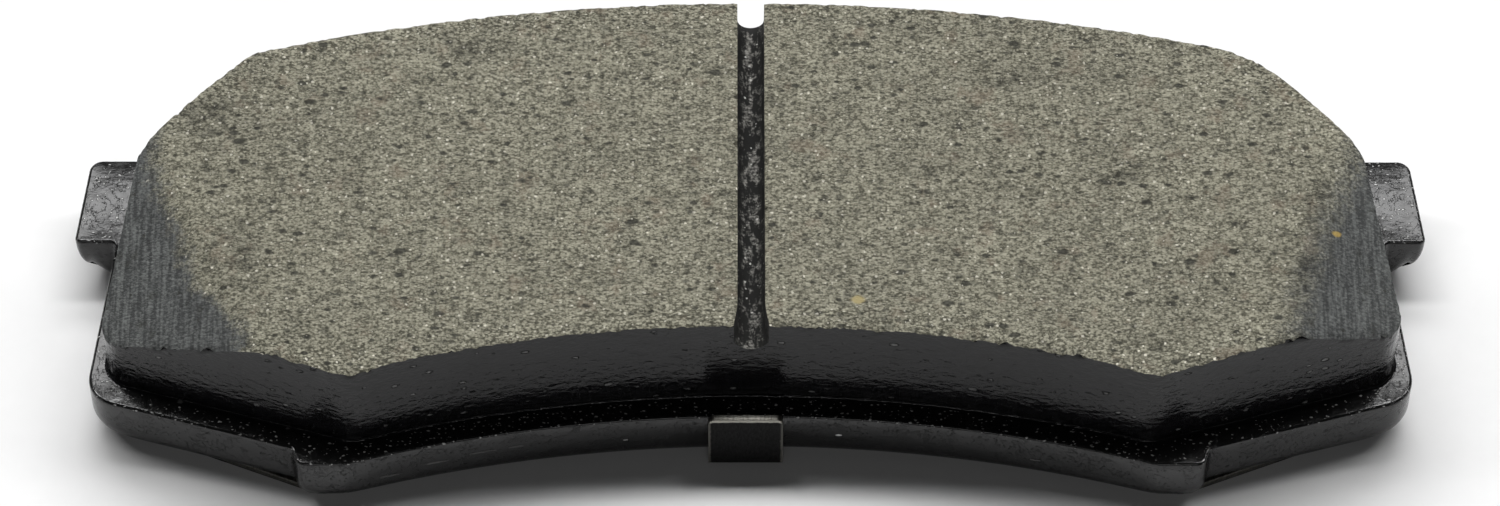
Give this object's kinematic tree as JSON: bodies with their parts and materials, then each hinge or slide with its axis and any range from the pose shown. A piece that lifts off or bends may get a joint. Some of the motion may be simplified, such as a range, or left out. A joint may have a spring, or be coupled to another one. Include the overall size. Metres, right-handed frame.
{
  "type": "disc brake pad",
  "caption": "Disc brake pad: curved lining with a centre slot and end chamfers on an eared steel backing plate, with a layered shim clipped to its back.",
  "frame": {"origin": "middle of the bounding box in X and Y, at the lowest face of the shim, on which the pad lies", "axes": "+X along the pad from ear to ear, +Y outward along the wheel's radius, from the feet to the crown of the outer edge, +Z from the piston side through the plate's thickness to the friction face"},
  "size_m": [0.1162, 0.0419, 0.0166],
  "materials": {
    "painted_steel": "gloss black baked enamel, slightly orange-peeled",
    "bond_adhesive": "cured phenolic film",
    "underlayer_compound": "moulded, dark grey, overpainted on its sides",
    "friction_compound": "ground, olive grey with dark pits and bright metal and mineral specks",
    "pressure_adhesive": "clear tacky film",
    "damping_rubber": "smooth matt rubber",
    "shim_steel": "cold-rolled, bare on its cut edges",
    "shim_rubber": "finely textured matt rubber coat"
  },
  "bodies": {
    "root": {"backing_plate": "painted_steel", "bond_film": "bond_adhesive", "underlayer": "underlayer_compound", "friction_block": "friction_compound", "shim_adhesive": "pressure_adhesive", "shim_damping_layer": "damping_rubber", "shim_steel": "shim_steel", "shim_outer_rubber": "shim_rubber"}
  },
  "joints": []
}
